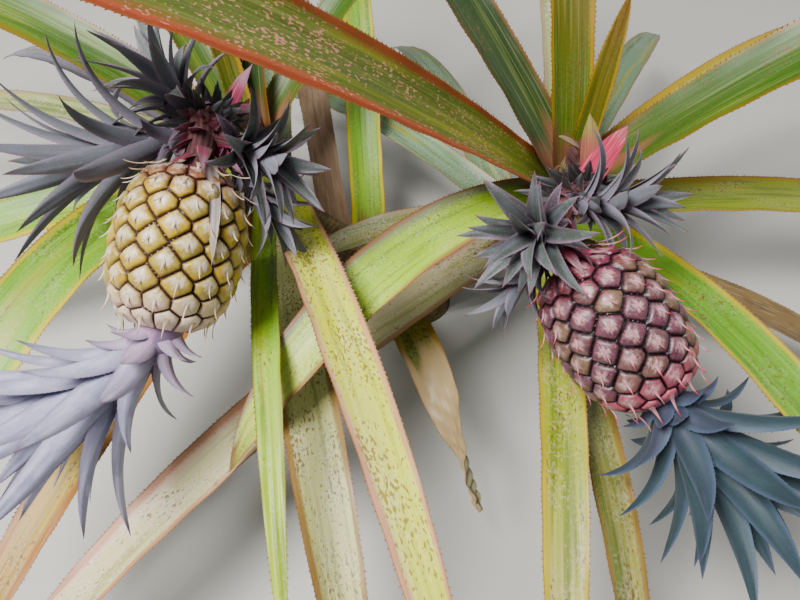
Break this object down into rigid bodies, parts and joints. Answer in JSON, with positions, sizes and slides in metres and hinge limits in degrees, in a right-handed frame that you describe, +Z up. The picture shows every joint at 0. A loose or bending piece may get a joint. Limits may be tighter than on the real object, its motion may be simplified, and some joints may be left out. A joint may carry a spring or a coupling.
{
  "type": "pineapple plant",
  "caption": "Pineapple clump from one root: leaning stems with rosettes of long channelled leaves, and bowed stalks that carry fruits with slips and leafy crowns.",
  "frame": {"origin": "middle of the flat cut under the main stem, at ground level", "axes": "+Z up from the ground, +X towards the right-hand rosette, -Y towards the fruits and the viewer"},
  "size_m": [1.6266, 1.2459, 0.7107],
  "materials": {
    "stem": "matte stem ringed with leaf scars",
    "stalk": "matte fibrous stalk with red bracts",
    "right_fruit": "waxy maroon rind of unripe fruit",
    "left_fruit": "waxy golden rind of ripening fruit",
    "right_crown": "mealy blue-green leaf",
    "left_crown": "mealy silver-lilac leaf",
    "slip": "mealy grey-purple leaf",
    "leaf_green": "satin bright green leaf with yellow margins",
    "leaf_dark": "satin dark green leaf",
    "leaf_yellow": "satin yellow-green speckled leaf",
    "leaf_red": "satin green leaf with broad red-orange margins",
    "leaf_pale": "mealy beige-green leaf with pink-brown margins",
    "leaf_brown": "dry matte brown leaf"
  },
  "bodies": {
    "root": {"main_stem": "stem", "right_leaf_fallen_brown": "leaf_brown", "right_leaf_rear_low": "leaf_green", "right_leaf_front_under": "leaf_pale", "right_leaf_rear_left_low": "leaf_green", "right_leaf_long_beige": "leaf_pale", "right_leaf_rear_right_low": "leaf_dark", "right_leaf_pale_left": "leaf_pale", "right_leaf_front": "leaf_yellow", "right_leaf_right_low": "leaf_green", "right_leaf_front_right": "leaf_green", "right_leaf_right_arching": "leaf_yellow", "right_leaf_channelled_left": "leaf_green", "right_leaf_rear_middle": "leaf_yellow", "right_leaf_red_edged": "leaf_red", "right_leaf_right_high": "leaf_green", "right_leaf_dark_rear_left": "leaf_dark", "right_leaf_upright": "leaf_yellow", "right_leaf_young_rear": "leaf_green", "right_stalk": "stalk", "right_fruit": "right_fruit", "right_slip_left": "slip", "right_slip_right": "slip", "right_crown": "right_crown", "side_stem": "stem", "left_leaf_rear_of_joint": "leaf_green", "left_leaf_dead_tip": "leaf_green", "left_leaf_dry_rear": "leaf_brown", "left_leaf_front_left_low": "leaf_yellow", "left_leaf_rear_low": "leaf_green", "left_leaf_front_wide": "leaf_pale", "left_leaf_whitish_rear_left": "leaf_pale", "left_leaf_rear": "leaf_green", "left_leaf_broad_left": "leaf_green", "left_leaf_narrow_front": "leaf_green", "left_leaf_edge_on_left": "leaf_pale", "left_leaf_broad_left_front": "leaf_green", "left_leaf_left_rear": "leaf_green", "left_leaf_speckled_front": "leaf_yellow", "left_leaf_rear_left_high": "leaf_green", "left_leaf_rear_right": "leaf_green", "left_leaf_rear_upright": "leaf_dark", "left_leaf_short_upright": "leaf_yellow", "left_stalk": "stalk", "left_fruit": "left_fruit", "left_slip_left": "slip", "left_slip_rear": "slip", "left_slip_right": "slip", "left_crown": "left_crown"}
  },
  "joints": []
}
